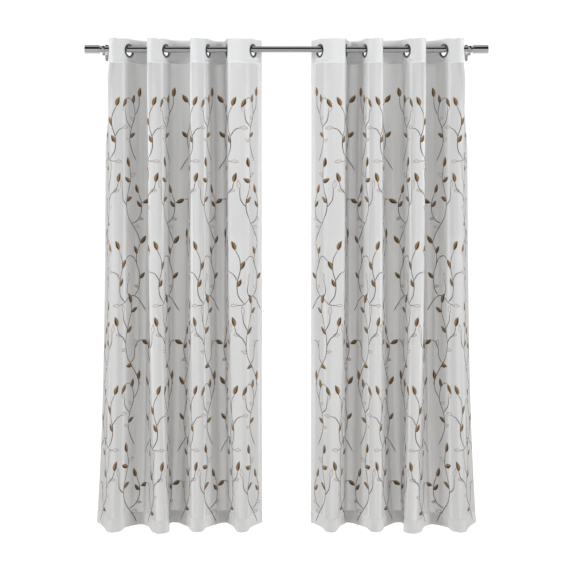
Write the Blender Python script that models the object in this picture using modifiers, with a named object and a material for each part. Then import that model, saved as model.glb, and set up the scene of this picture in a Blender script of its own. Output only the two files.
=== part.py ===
"""A pair of sheer voile curtains with eyelet headings, hung on a curtain rod with two brackets.

Metres, +Z up. The wall is the plane Y = 0 and the room is on its -Y side. The origin is on the wall,
midway between the brackets and level with the axis of the rod. The right-hand curtain is the
left-hand one mirrored in X.
"""

import math
from collections import namedtuple

import bmesh
import bpy
from mathutils import Matrix, Vector
from mathutils.geometry import interpolate_bezier

MM = 0.001
GAP = 0.0003  # clearance between pieces that touch
SIDES = {"left": 1, "right": -1}  # 1 is the side that the tables describe, -1 its mirror image

# Rod and finials
ROD_OUT = 0.095  # wall to rod axis
ROD_R = 0.014
ROD_WALL = 0.0012
ROD_HALF = 0.8102  # half the length of the tube
ROD_STEPS = 24
FINIAL_R = 0.0200
FINIAL_LENGTH = 0.065
FINIAL_CHAMFER = 0.0015
COLLAR_R = 0.0150
COLLAR_LENGTH = 0.007
PLUG_R = ROD_R - ROD_WALL - GAP
PLUG_LENGTH = 0.020

# Brackets
BRACKET_X = 0.801
PLATE_WIDTH = 0.020
PLATE_FOOT_WIDTH = 0.012
PLATE_HEIGHT = 0.074
PLATE_DEPTH = 0.003
PLATE_Z = -0.0030
CRADLE_WIDTH = 0.012
CRADLE_WALL = 0.0042
CHANNEL_R = ROD_R + GAP
LIP_Z = 0.0135
ARM_WIDTH = 0.010
ARM_HEIGHT = 0.010
ARM_Z = -0.011
BOSS_R = 0.0055
BOSS_FOOT_Z = -0.0215
SET_SCREW_R = 0.0030
KNOB_R = 0.0055
KNOB_HEIGHT = 0.0045
WALL_SCREW_SPAN = 0.056
WALL_SCREW_R = 0.0020
WALL_HEAD_R = 0.0042
WALL_HEAD_HEIGHT = 0.0022

# Cloth
EYELET_PITCH = 0.178  # along the flat cloth
SIDE_FLAP = 0.063  # side edge to the first eyelet, along the cloth
FLAT_HALF = 0.032  # the heading lies flat this far each side of an eyelet
HEADING_TOP = 0.046
HEADING_HEIGHT = 0.106
HEADING_THICKNESS = 0.003
HEM_FOOT = -2.088
HEM_HEIGHT = 0.054
CLOTH_THICKNESS = 0.0015
HEM_THICKNESS = 0.0025
SEAM_STEP = 0.001
SETTLED = 0.2  # share of the fall by which the folds hang free of the rod
CURL_OUTER = math.radians(12)
CURL_INNER = math.radians(-25)

# Eyelets
EYELET_BORE_R = 0.0215
EYELET_R = 0.0305
EYELET_NECK_R = 0.0240
EYELET_DROP = 0.0063  # eyelet centre below the rod axis
EYELET_STEPS = 16
HOLE_GAP = 0.00035  # between an eyelet's neck and the cloth, round the hole
HOLE_DEPTH = 0.020

# How the left curtain folds, one row for each eyelet, from the outer side edge to the inner one.
# x and y (mm) place the middle of a fold's flank, y counted from the rod towards the wall, and lean
# (degrees) is the flank's angle to the rod. The columns hold at the rod, below it where the folds
# have settled, and at the hem.
Flank = namedtuple("Flank", "rod_x rod_lean hang_x hang_y hang_lean hem_x hem_y hem_lean")
FLANKS = (
    Flank(-764, -97, -782, 3, -75, -812, 14, -66),
    Flank(-690, 56, -690, -2, 57, -704, -26, 50),
    Flank(-600, -97, -602, 0, -90, -590, -40, -64),
    Flank(-528, 61, -526, -2, 72, -513, -6, 98),
    Flank(-414, -97, -424, 0, -82, -440, 0, -60),
    Flank(-344, 71, -340, 0, 66, -334, -5, 54),
    Flank(-261, -81, -259, 0, -86, -234, -8, -68),
    Flank(-147, 61, -146, 0, 62, -142, 6, 64),
)

FLAT_STEPS = 2
LOBE_STEPS = 6
FLAP_STEPS = 2


def clear_scene():
    for old in list(bpy.data.objects):
        bpy.data.objects.remove(old, do_unlink=True)


def new_collection(name):
    collection = bpy.data.collections.new(name)
    bpy.context.scene.collection.children.link(collection)
    return collection


def principled(name, colour, roughness, metallic=0.0):
    material = bpy.data.materials.new(name)
    material.use_nodes = True
    shader = material.node_tree.nodes["Principled BSDF"]
    shader.inputs["Base Color"].default_value = (*colour, 1)
    shader.inputs["Roughness"].default_value = roughness
    shader.inputs["Metallic"].default_value = metallic
    material.diffuse_color = (*colour, 1)
    return material


def add_object(name, mesh, material):
    piece = bpy.data.objects.new(name, mesh)
    parts.objects.link(piece)
    piece.parent = wall_centre
    if not mesh.materials:
        mesh.materials.append(material)
    return piece


def add_cutter(name, mesh, matrix):
    cutter = bpy.data.objects.new(name, mesh)
    cutters.objects.link(cutter)
    cutter.matrix_world = matrix
    cutter.hide_render = True
    cutter.display_type = "WIRE"
    return cutter


def add_boolean(piece, operation, tool):
    boolean = piece.modifiers.new(operation.lower() + " " + tool.name, "BOOLEAN")
    boolean.operation = operation
    boolean.solver = "EXACT"
    boolean.object = tool


def box_mesh(name, size):
    mesh = bpy.data.meshes.new(name)
    bm = bmesh.new()
    bmesh.ops.create_cube(bm, size=1)
    bmesh.ops.scale(bm, vec=size, verts=bm.verts)
    bm.to_mesh(mesh)
    bm.free()
    return mesh


def cylinder_mesh(name, radius, length, steps):
    """A solid cylinder about its own Z axis, centred."""
    mesh = bpy.data.meshes.new(name)
    bm = bmesh.new()
    bmesh.ops.create_cone(
        bm, cap_ends=True, segments=steps, radius1=radius, radius2=radius, depth=length
    )
    bm.to_mesh(mesh)
    bm.free()
    return mesh


def profile_mesh(name, profile, closed):
    """A wire of (radius, height) points in the XZ plane, outer side from top to bottom."""
    mesh = bpy.data.meshes.new(name)
    edges = [(i, i + 1) for i in range(len(profile) - 1)]
    if closed:
        edges.append((len(profile) - 1, 0))
    mesh.from_pydata([(r, 0, z) for r, z in profile], edges, [])
    return mesh


def turn(piece, steps):
    """Spins the object's profile round its own Z axis."""
    screw = piece.modifiers.new("turned", "SCREW")
    screw.axis = "Z"
    screw.angle = math.tau
    screw.steps = steps
    screw.render_steps = steps
    screw.use_merge_vertices = True
    screw.merge_threshold = 0.00001
    screw.use_smooth_shade = True


def along_x(way):
    """Rotation that lays a piece's own Z axis along +X for a way of 1, or along -X for -1."""
    return Matrix.Rotation(math.radians(90) * way, 4, "Y")


# Rod and finials


def make_rod():
    inner = ROD_R - ROD_WALL
    profile = [(ROD_R, ROD_HALF), (ROD_R, -ROD_HALF), (inner, -ROD_HALF), (inner, ROD_HALF)]
    rod = add_object("rod", profile_mesh("rod", profile, True), nickel("rod nickel"))
    turn(rod, ROD_STEPS)
    rod.matrix_world = Matrix.Translation((0, -ROD_OUT, 0)) @ along_x(1)


def make_finial(side, towards):
    """A cylinder end cap with a collar against the tube and a plug inside it."""
    tube_end = ROD_HALF + GAP
    body = tube_end + COLLAR_LENGTH
    tip = body + FINIAL_LENGTH
    profile = [
        (0, tip),
        (FINIAL_R - FINIAL_CHAMFER, tip),
        (FINIAL_R, tip - FINIAL_CHAMFER),
        (FINIAL_R, body + FINIAL_CHAMFER),
        (FINIAL_R - FINIAL_CHAMFER, body),
        (COLLAR_R, body),
        (COLLAR_R, tube_end),
        (PLUG_R, tube_end),
        (PLUG_R, ROD_HALF - PLUG_LENGTH),
        (0, ROD_HALF - PLUG_LENGTH),
    ]
    name = f"finial_{side}"
    finial = add_object(name, profile_mesh(name, profile, False), nickel(f"{name} nickel"))
    turn(finial, ROD_STEPS)
    finial.matrix_world = Matrix.Translation((0, -ROD_OUT, 0)) @ along_x(-towards)


# Brackets


def stadium_mesh(name):
    """The wall plate: a flat outline, narrower at its foot, in XZ with its back on the wall."""
    outline = bpy.data.curves.new(name, "CURVE")
    outline.dimensions = "2D"
    outline.fill_mode = "BOTH"
    outline.extrude = PLATE_DEPTH / 2
    spline = outline.splines.new("POLY")
    steps = 8
    arc = [math.pi * i / steps for i in range(steps + 1)]
    points = []
    for width, way in ((PLATE_WIDTH, 1), (PLATE_FOOT_WIDTH, -1)):
        radius = width / 2
        middle = PLATE_HEIGHT / 2 - radius
        points += [
            (way * radius * math.cos(a), way * (middle + radius * math.sin(a))) for a in arc
        ]
    spline.points.add(len(points) - 1)
    for point, (x, y) in zip(spline.points, points):
        point.co = (x, y, 0, 1)
    spline.use_cyclic_u = True
    guide = bpy.data.objects.new(name + " outline", outline)
    cutters.objects.link(guide)
    bpy.context.view_layer.update()
    evaluated = guide.evaluated_get(bpy.context.evaluated_depsgraph_get())
    mesh = bpy.data.meshes.new_from_object(evaluated)
    bpy.data.objects.remove(guide)
    bm = bmesh.new()
    bm.from_mesh(mesh)
    bmesh.ops.remove_doubles(bm, verts=bm.verts, dist=0.00001)
    stand_up = Matrix.Translation((0, -PLATE_DEPTH / 2, 0)) @ Matrix.Rotation(math.pi / 2, 4, "X")
    bmesh.ops.transform(bm, matrix=stand_up, verts=bm.verts)
    bm.to_mesh(mesh)
    bm.free()
    return mesh


def make_bracket(side, towards):
    """Wall plate, arm and open-topped cradle in one casting, with a screw boss under the cradle."""
    name = f"bracket_{side}"
    x = -BRACKET_X * towards
    bracket = add_object(name, stadium_mesh(name), nickel(f"{name} nickel"))
    bracket.location = (x, 0, PLATE_Z)

    def place(y, z):
        return Matrix.Translation((x, y, z))

    cradle_r = CHANNEL_R + CRADLE_WALL
    rod_axis = place(-ROD_OUT, 0) @ along_x(1)
    arm_length = ROD_OUT - CHANNEL_R - CRADLE_WALL / 2 - PLATE_DEPTH / 2
    arm_y = -PLATE_DEPTH / 2 - arm_length / 2
    boss_height = -BOSS_FOOT_Z - CHANNEL_R - CRADLE_WALL / 2
    added = {
        "cradle bowl": (
            cylinder_mesh(f"{name} bowl", cradle_r, CRADLE_WIDTH, ROD_STEPS),
            rod_axis,
        ),
        "cradle lips": (
            box_mesh(f"{name} lips", (CRADLE_WIDTH, 2 * cradle_r, LIP_Z)),
            place(-ROD_OUT, LIP_Z / 2),
        ),
        "arm": (
            box_mesh(f"{name} arm", (ARM_WIDTH, arm_length, ARM_HEIGHT)),
            place(arm_y, ARM_Z),
        ),
        "boss": (
            cylinder_mesh(f"{name} boss", BOSS_R, boss_height, 16),
            place(-ROD_OUT, BOSS_FOOT_Z + boss_height / 2),
        ),
    }
    screw_hole = cylinder_mesh(f"{name} screw hole", WALL_SCREW_R + GAP, 4 * PLATE_DEPTH, 12)
    through_plate = Matrix.Rotation(math.pi / 2, 4, "X")
    cut = {
        "rod channel": (
            cylinder_mesh(f"{name} channel", CHANNEL_R, 2 * CRADLE_WIDTH, ROD_STEPS),
            rod_axis,
        ),
        "rod slot": (
            box_mesh(f"{name} slot", (2 * CRADLE_WIDTH, 2 * CHANNEL_R, 2 * LIP_Z)),
            place(-ROD_OUT, LIP_Z),
        ),
        "set screw hole": (
            cylinder_mesh(f"{name} set screw hole", SET_SCREW_R + GAP, 2 * ROD_R, 12),
            place(-ROD_OUT, BOSS_FOOT_Z),
        ),
        "upper wall screw hole": (
            screw_hole,
            place(0, PLATE_Z + WALL_SCREW_SPAN / 2) @ through_plate,
        ),
        "lower wall screw hole": (
            screw_hole,
            place(0, PLATE_Z - WALL_SCREW_SPAN / 2) @ through_plate,
        ),
    }
    for operation, tools in (("UNION", added), ("DIFFERENCE", cut)):
        for what, (mesh, matrix) in tools.items():
            add_boolean(bracket, operation, add_cutter(f"{name} {what}", mesh, matrix))


def make_set_screw(side, towards):
    """The screw that locks the rod from below: shank in the boss, round knob under it."""
    knob_top = BOSS_FOOT_Z - GAP
    tip = -CHANNEL_R
    ease = KNOB_HEIGHT / 7
    profile = [
        (0, tip),
        (SET_SCREW_R, tip),
        (SET_SCREW_R, knob_top),
        (KNOB_R - ease, knob_top),
        (KNOB_R, knob_top - ease),
        (KNOB_R, knob_top - KNOB_HEIGHT + ease),
        (KNOB_R - ease, knob_top - KNOB_HEIGHT),
        (0, knob_top - KNOB_HEIGHT),
    ]
    name = f"set_screw_{side}"
    screw = add_object(name, profile_mesh(name, profile, False), nickel(f"{name} nickel"))
    turn(screw, 12)
    screw.location = (-BRACKET_X * towards, -ROD_OUT, 0)


def make_wall_screws(side, towards):
    """Two pan-head screws through the wall plate, cut off level with the wall."""
    under_head = PLATE_DEPTH + GAP
    profile = [
        (0, under_head + WALL_HEAD_HEIGHT),
        (0.6 * WALL_HEAD_R, under_head + WALL_HEAD_HEIGHT),
        (WALL_HEAD_R, under_head + 0.4 * WALL_HEAD_HEIGHT),
        (WALL_HEAD_R, under_head),
        (WALL_SCREW_R, under_head),
        (WALL_SCREW_R, 0),
        (0, 0),
    ]
    towards_room = Matrix.Rotation(math.pi / 2, 4, "X")
    material = nickel(f"wall screw nickel {side}")
    mesh = profile_mesh(f"wall screw {side}", profile, False)
    for level, way in (("upper", 1), ("lower", -1)):
        screw = add_object(f"wall_screw_{side}_{level}", mesh, material)
        turn(screw, 12)
        z = PLATE_Z + way * WALL_SCREW_SPAN / 2
        screw.matrix_world = Matrix.Translation((-BRACKET_X * towards, 0, z)) @ towards_room


# Folds


def ease_in_out(share):
    share = min(max(share, 0), 1)
    return share * share * (3 - 2 * share)


def flank_at(flank, fall):
    """Middle of a flank and its direction in plan, at a share of the fall from heading to hem."""
    settled = ease_in_out(fall / SETTLED)
    spread = fall**3

    def mixed(rod, hang, hem):
        return rod + (hang - rod) * settled + (hem - hang) * spread

    x = mixed(flank.rod_x, flank.hang_x, flank.hem_x) * MM
    y = mixed(0, flank.hang_y, flank.hem_y) * MM
    lean = math.radians(mixed(flank.rod_lean, flank.hang_lean, flank.hem_lean))
    return Vector((x, y, 0)), Vector((math.cos(lean), math.sin(lean), 0))


def path_length(points):
    return sum((b - a).length for a, b in zip(points, points[1:]))


def lobe(start, start_way, end, end_way):
    """The rounded turn between two flanks, its handles as long as takes up the cloth there."""
    cloth = EYELET_PITCH - 2 * FLAT_HALF
    low, high = 0.0, EYELET_PITCH
    for _ in range(30):
        handle = (low + high) / 2
        points = interpolate_bezier(
            start, start + handle * start_way, end - handle * end_way, end, 40
        )
        if path_length(points) < cloth:
            low = handle
        else:
            high = handle
    return interpolate_bezier(
        start, start + handle * start_way, end - handle * end_way, end, LOBE_STEPS + 1
    )


def flap(start, way, curl):
    """The cloth past the last eyelet, from its flat part to the side edge, curling a little."""
    step = (SIDE_FLAP - FLAT_HALF) / FLAP_STEPS
    points = [start]
    for _ in range(FLAP_STEPS):
        way = Matrix.Rotation(curl / FLAP_STEPS, 3, "Z") @ way
        points.append(points[-1] + step * way)
    return points


def fold_section(fall):
    """Plan of the left curtain from its outer side edge to its inner one, about the rod's axis."""
    flanks = [flank_at(flank, fall) for flank in FLANKS]
    centre, way = flanks[0]
    points = flap(centre - FLAT_HALF * way, -way, CURL_OUTER)[::-1]
    for i, (centre, way) in enumerate(flanks):
        if i:
            before, before_way = flanks[i - 1]
            turn_points = lobe(
                before + FLAT_HALF * before_way, before_way, centre - FLAT_HALF * way, way
            )
            points += turn_points[1:]
        for step in range(1, FLAT_STEPS + 1):
            points.append(centre + (2 * step / FLAT_STEPS - 1) * FLAT_HALF * way)
    points += flap(centre + FLAT_HALF * way, way, CURL_INNER)[1:]
    return points


def cloth_mesh(name, towards, levels):
    """A loft through the fold sections at levels given as (height, share of the fall)."""
    bm = bmesh.new()
    rows = []
    for z, fall in levels:
        row = [(p.x * towards, p.y - ROD_OUT, z) for p in fold_section(fall)]
        rows.append([bm.verts.new(co) for co in row])
    for upper, lower in zip(rows, rows[1:]):
        for i in range(len(upper) - 1):
            bm.faces.new((upper[i], lower[i], lower[i + 1], upper[i + 1]))
    mesh = bpy.data.meshes.new(name)
    bmesh.ops.recalc_face_normals(bm, faces=bm.faces)
    bm.to_mesh(mesh)
    bm.free()
    mesh.shade_smooth()
    return mesh


def thicken(piece, thickness):
    """Gives the sheet its thickness, half to each side, with both sides cut into the same triangles."""
    triangles = piece.modifiers.new("triangles", "TRIANGULATE")
    triangles.quad_method = "FIXED"
    solid = piece.modifiers.new("thickness", "SOLIDIFY")
    solid.thickness = thickness
    solid.offset = 0
    solid.use_even_offset = True
    solid.use_quality_normals = True
    return solid


def make_panel(side, towards):
    """The voile below the heading, with its turned-up hem a little thicker."""
    top = HEADING_TOP - HEADING_HEIGHT - GAP
    seam = HEM_FOOT + HEM_HEIGHT
    shares = [0, 0.07, 0.13, SETTLED, 0.4, 0.6, 0.8, 0.9]
    heights = [top + (HEM_FOOT - top) * share for share in shares]
    heights += [seam + SEAM_STEP, seam, HEM_FOOT]
    levels = [(z, (top - z) / (top - HEM_FOOT)) for z in heights]
    name = f"panel_{side}"
    material = principled(f"{name} voile", (0.80, 0.79, 0.78), 0.9)
    panel = add_object(name, cloth_mesh(name, towards, levels), material)
    hem = panel.vertex_groups.new(name="hem")
    hem.add([v.index for v in panel.data.vertices if v.co.z < seam + SEAM_STEP / 2], 1, "REPLACE")
    solid = thicken(panel, HEM_THICKNESS)
    solid.vertex_group = hem.name
    solid.thickness_vertex_group = CLOTH_THICKNESS / HEM_THICKNESS


def make_heading(side, towards):
    """The stiff doubled band along the top, pierced for the eyelets."""
    foot = HEADING_TOP - HEADING_HEIGHT
    name = f"heading_{side}"
    material = principled(f"{name} voile", (0.85, 0.85, 0.86), 0.85)
    heading = add_object(name, cloth_mesh(name, towards, [(HEADING_TOP, 0), (foot, 0)]), material)
    thicken(heading, HEADING_THICKNESS)
    hole = cylinder_mesh(f"{name} hole", EYELET_NECK_R + HOLE_GAP, HOLE_DEPTH, EYELET_STEPS)
    for number, matrix in enumerate(eyelet_frames(towards), 1):
        add_boolean(heading, "DIFFERENCE", add_cutter(f"{name} hole {number}", hole, matrix))


# Eyelets


def eyelet_frames(towards):
    """A matrix for each eyelet: centre below the rod axis, Z axis square to the cloth there."""
    frames = []
    for flank in FLANKS:
        centre, way = flank_at(flank, 0)
        centre = Vector((centre.x * towards, -ROD_OUT, -EYELET_DROP))
        along = Vector((way.x * towards, way.y, 0))
        across = along.cross(Vector((0, 0, 1)))
        frame = Matrix((along, Vector((0, 0, 1)), across)).transposed().to_4x4()
        frames.append(Matrix.Translation(centre) @ frame)
    return frames


def make_eyelets(side, towards):
    """Rings with a groove all round, which holds the edge of the heading's hole."""
    groove = HEADING_THICKNESS / 2 + GAP
    half = [
        (EYELET_BORE_R, 0.0016),
        (EYELET_BORE_R + 0.0025, 0.0041),
        (EYELET_R, 0.0030),
        (EYELET_R, groove),
        (EYELET_NECK_R, groove),
    ]
    profile = half + [(r, -z) for r, z in reversed(half)]
    mesh = profile_mesh(f"eyelet {side}", profile, True)
    material = principled(f"eyelet nickel {side}", (0.24, 0.23, 0.23), 0.3, 1)
    for number, matrix in enumerate(eyelet_frames(towards), 1):
        eyelet = add_object(f"eyelet_{side}_{number}", mesh, material)
        turn(eyelet, EYELET_STEPS)
        eyelet.matrix_world = matrix


def nickel(name):
    return principled(name, (0.55, 0.54, 0.53), 0.22, 1)


clear_scene()
parts = new_collection("sheer voile curtain pair on rod")
cutters = new_collection("cutters")
wall_centre = bpy.data.objects.new("wall centre", None)
parts.objects.link(wall_centre)
make_rod()
for side, towards in SIDES.items():
    make_finial(side, towards)
    make_bracket(side, towards)
    make_set_screw(side, towards)
    make_wall_screws(side, towards)
    make_heading(side, towards)
    make_eyelets(side, towards)
    make_panel(side, towards)
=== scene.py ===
"""Dresses a pair of embroidered voile curtains with eyelet headings, on a nickel curtain rod.

Metres, +Z up, in the CAD's frame: the wall is the plane Y = 0, the room is on its -Y side, and the
origin is midway between the brackets, level with the rod's axis. The cloth is worked out once, for the
left-hand curtain, from the CAD's table of folds. A place on it is given on the flat cloth, as the
distance along it from the outer side edge and the height, and the right-hand curtain is its mirror
image in X.
"""

import math
from collections import namedtuple

import bmesh
import bpy
import numpy as np
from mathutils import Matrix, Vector


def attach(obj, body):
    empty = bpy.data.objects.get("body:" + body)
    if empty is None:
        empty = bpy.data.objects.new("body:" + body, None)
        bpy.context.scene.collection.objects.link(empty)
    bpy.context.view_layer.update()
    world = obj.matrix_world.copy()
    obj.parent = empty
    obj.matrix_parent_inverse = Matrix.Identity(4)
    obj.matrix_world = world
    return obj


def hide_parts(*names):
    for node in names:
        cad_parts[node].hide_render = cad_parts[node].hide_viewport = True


MM = 0.001
SIDES = {"left": 1, "right": -1}  # 1 is the side that the tables describe, -1 its mirror image

# Rod and eyelets, as in the CAD
ROD_OUT = 0.095
ROD_R = 0.014
ROD_WALL = 0.0012
ROD_HALF = 0.8102
FINIAL_R = 0.0200
FINIAL_LENGTH = 0.065
COLLAR_R = 0.0150
COLLAR_LENGTH = 0.007
PLUG_LENGTH = 0.020
GAP = 0.0003
EYELET_BORE_R = 0.0215
EYELET_R = 0.0305
EYELET_NECK_R = 0.0240
EYELET_DROP = 0.0063
EYELET_PITCH = 0.178
SIDE_FLAP = 0.063
FLAT_HALF = 0.032

# Cloth, as in the CAD
HEADING_TOP = 0.046
HEADING_FOOT = -0.060
HEM_FOOT = -2.088
HEM_HEIGHT = 0.054
SETTLED = 0.2  # the share of the drop in which the folds take their hanging shape
FLARE = 0.011  # how much further out the outer fold stands just under the heading
FLARE_RISE = 0.03  # the share of the drop in which it comes to stand out
FLARE_WIDTH = 0.17  # how far it reaches along the cloth
SAG_TOP = 0.006  # how far the folds nearest the room hang below the rest, at the top and at the hem
SAG_FOOT = 0.011
SAG_NEAR = 0.017  # the sag begins this far in front of the rod's axis
SAG_DEPTH = 0.035  # and is full this much further out
OPENING_PACE = 1.6  # how soon the tight turns open out on their way down
OPENING_DELAY = 0.2
CURL_OUTER = math.radians(12)
CURL_INNER = math.radians(-25)
CLOTH_WIDTH = 7 * EYELET_PITCH + 2 * SIDE_FLAP

# How the left curtain folds, one row for each eyelet, from the outer side edge to the inner one.
# x and y (mm) place the middle of a fold's flank, y counted from the rod towards the wall, and lean
# (degrees) is the flank's angle to the rod: at the rod, below it where the folds have settled, and
# at the hem.
Flank = namedtuple("Flank", "rod_x rod_lean hang_x hang_y hang_lean hem_x hem_y hem_lean")
FLANKS = (
    Flank(-764, -97, -782, 3, -75, -812, 14, -66),
    Flank(-690, 56, -690, -2, 57, -704, -26, 50),
    Flank(-600, -97, -602, 0, -90, -590, -40, -64),
    Flank(-528, 61, -526, -2, 72, -513, -6, 98),
    Flank(-414, -97, -424, 0, -82, -440, 0, -60),
    Flank(-344, 71, -340, 0, 66, -334, -5, 54),
    Flank(-261, -81, -259, 0, -86, -234, -8, -68),
    Flank(-147, 61, -146, 0, 62, -142, 6, 64),
)

# Creases pressed into the folds (mm). along is the distance from the outer side edge, lift
# is towards the room, and drift is how far the crease wanders along the cloth on its way down.
Crease = namedtuple("Crease", "along width lift top foot drift")
CREASES = (
    Crease(22, 9, 1.8, -80, -2400, 6),
    Crease(118, 10, 2.2, -90, -1500, 10),
    Crease(150, 7, -1.6, -400, -2400, -8),
    Crease(176, 9, 2.4, -70, -2400, -6),
    Crease(290, 12, 2.6, -100, -1700, 14),
    Crease(335, 8, -2.0, -80, -2400, 4),
    Crease(372, 10, 2.2, -600, -2400, -10),
    Crease(470, 8, 2.4, -80, -2400, 6),
    Crease(505, 11, -1.8, -90, -1200, 10),
    Crease(541, 8, 2.0, -300, -2400, 5),
    Crease(640, 10, 2.6, -90, -2400, 12),
    Crease(690, 13, -2.4, -100, -1900, -8),
    Crease(735, 9, 1.8, -500, -2400, -6),
    Crease(828, 8, 2.2, -80, -1400, 4),
    Crease(861, 10, -2.0, -120, -2400, 9),
    Crease(898, 7, 2.2, -700, -2400, -4),
    Crease(1000, 11, 2.4, -90, -2400, -9),
    Crease(1046, 9, -2.2, -90, -1600, 6),
    Crease(1085, 8, 1.8, -400, -2400, 5),
    Crease(1186, 8, 2.0, -80, -2400, 7),
    Crease(1222, 12, -2.4, -100, -2400, -10),
    Crease(1262, 9, 2.4, -90, -1300, 6),
    Crease(1330, 8, 1.6, -90, -2400, -4),
)
CREASE_TOP_FADE = 0.15  # the height over which a crease comes in, and over which it goes out
CREASE_FOOT_FADE = 0.20
FLAT_UNDER_HEADING = 0.09  # the height over which all relief comes in

# Shallow waves along the whole cloth. depth and spacing are in mm, sway (radians) is how far the
# waves wander on their way down, and pace and start say how quickly and from where.
Ripple = namedtuple("Ripple", "depth spacing sway pace start")
RIPPLES = (
    Ripple(0.7, 43, 1.3, 5.3, 0.7),
    Ripple(0.6, 67, -1.6, 3.1, 0.0),
)

# Painted highlights, lines painted paler and denser where the folds' edges show bright: where each
# begins and ends (mm from the outer side edge), its half width, and how strong its painted highlight is.
PaintedHighlight = namedtuple("PaintedHighlight", "top foot width paled")
PAINTED_HIGHLIGHTS = (
    PaintedHighlight(120, 128, 7.8, 0.6),
    PaintedHighlight(207, 222, 9.1, 0.7),
    PaintedHighlight(480, 486, 10.4, 1.0),
    PaintedHighlight(566, 530, 9.1, 0.9),
    PaintedHighlight(834, 842, 9.1, 0.9),
    PaintedHighlight(917, 914, 7.8, 1.0),
    PaintedHighlight(1128, 1116, 11.7, 0.9),
    PaintedHighlight(1180, 1184, 11.7, 0.4),
    PaintedHighlight(1267, 1262, 10.4, 0.7),
    PaintedHighlight(1356, 1354, 7.8, 0.8),
)

# How many places the cloth is worked out at
COLUMNS = 687
HEADING_ROWS = 12
PANEL_ROWS = 130


def smooth(share):
    """A soft step from 0 to 1 as the share goes from 0 to 1."""
    share = np.clip(share, 0, 1)
    return share * share * (3 - 2 * share)


# The cloth


def flank_at(flank, fall):
    """Middle of a flank and its direction in plan, at a share of the fall from heading to hem."""
    settled = float(smooth(fall / SETTLED))
    spread = fall**3

    def mixed(rod, hang, hem):
        return rod + (hang - rod) * settled + (hem - hang) * spread

    x = mixed(flank.rod_x, flank.hang_x, flank.hem_x) * MM
    y = mixed(0, flank.hang_y, flank.hem_y) * MM
    lean = math.radians(mixed(flank.rod_lean, flank.hang_lean, flank.hem_lean))
    return np.array((x, y)), np.array((math.cos(lean), math.sin(lean)))


def rotated(x, y, turn):
    return x * math.cos(turn) - y * math.sin(turn), x * math.sin(turn) + y * math.cos(turn)


def path_lengths(points):
    steps = np.linalg.norm(np.diff(points, axis=0), axis=1)
    return np.concatenate(([0.0], np.cumsum(steps)))


def bezier(start, leaving, arriving, end, count):
    t = np.linspace(0, 1, count)[:, None]
    s = 1 - t
    return s**3 * start + 3 * s * s * t * leaving + 3 * s * t * t * arriving + t**3 * end


def lobe(start, start_way, end, end_way):
    """The rounded turn between two flanks, its handles as long as takes up the cloth there."""
    cloth = EYELET_PITCH - 2 * FLAT_HALF
    low, high = 0.0, EYELET_PITCH
    for _ in range(30):
        handle = (low + high) / 2
        turn = bezier(start, start + handle * start_way, end - handle * end_way, end, 41)
        if path_lengths(turn)[-1] < cloth:
            low = handle
        else:
            high = handle
    return turn


def flap(start, way, curl):
    """The cloth past the last eyelet, from its flat part to the side edge, curling a little."""
    steps = 12
    step = (SIDE_FLAP - FLAT_HALF) / steps
    turn = curl / steps
    points = [start]
    for _ in range(steps):
        way = np.array(rotated(way[0], way[1], turn))
        points.append(points[-1] + step * way)
    return np.array(points)


def fold_section(fall):
    """Plan of the left curtain at evenly spaced places from its outer side edge to its inner one."""
    flanks = [flank_at(flank, fall) for flank in FLANKS]
    centre, way = flanks[0]
    parts = [flap(centre - FLAT_HALF * way, -way, CURL_OUTER)[::-1]]
    for (before, before_way), (centre, way) in zip(flanks, flanks[1:]):
        start = before + FLAT_HALF * before_way
        parts.append(lobe(start, before_way, centre - FLAT_HALF * way, way))
    centre, way = flanks[-1]
    parts.append(flap(centre + FLAT_HALF * way, way, CURL_INNER))
    points = np.concatenate(parts)
    along = path_lengths(points)
    even = np.linspace(0, along[-1], COLUMNS)
    return np.stack([np.interp(even, along, points[:, i]) for i in (0, 1)], axis=1)


def relief(along, height):
    """How far the cloth stands off its plain fold towards the room, in metres."""
    total = np.zeros(np.broadcast(along, height).shape)
    for crease in CREASES:
        top, foot = crease.top * MM, crease.foot * MM
        centre = (crease.along + crease.drift * (top - height) / (top - foot)) * MM
        fade = smooth((top - height) / CREASE_TOP_FADE) * smooth((height - foot) / CREASE_FOOT_FADE)
        total += crease.lift * MM * np.exp(-(((along - centre) / (crease.width * MM)) ** 2)) * fade
    for ripple in RIPPLES:
        sway = ripple.sway * np.sin(height * ripple.pace + ripple.start)
        total += ripple.depth * MM * np.sin(math.tau * along / (ripple.spacing * MM) + sway)
    return total * smooth((HEADING_FOOT - height) / FLAT_UNDER_HEADING)


def rounded(plan):
    """The same plans with their tightest turns opened out."""
    reach = 18  # columns to each side
    spread = reach / 2.5
    weights = np.exp(-((np.arange(-reach, reach + 1) / spread) ** 2) / 2)
    weights /= weights.sum()
    wide = np.pad(plan, ((0, 0), (reach, reach), (0, 0)), "reflect", reflect_type="odd")
    return sum(w * wide[:, i : i + plan.shape[1]] for i, w in enumerate(weights))


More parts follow.
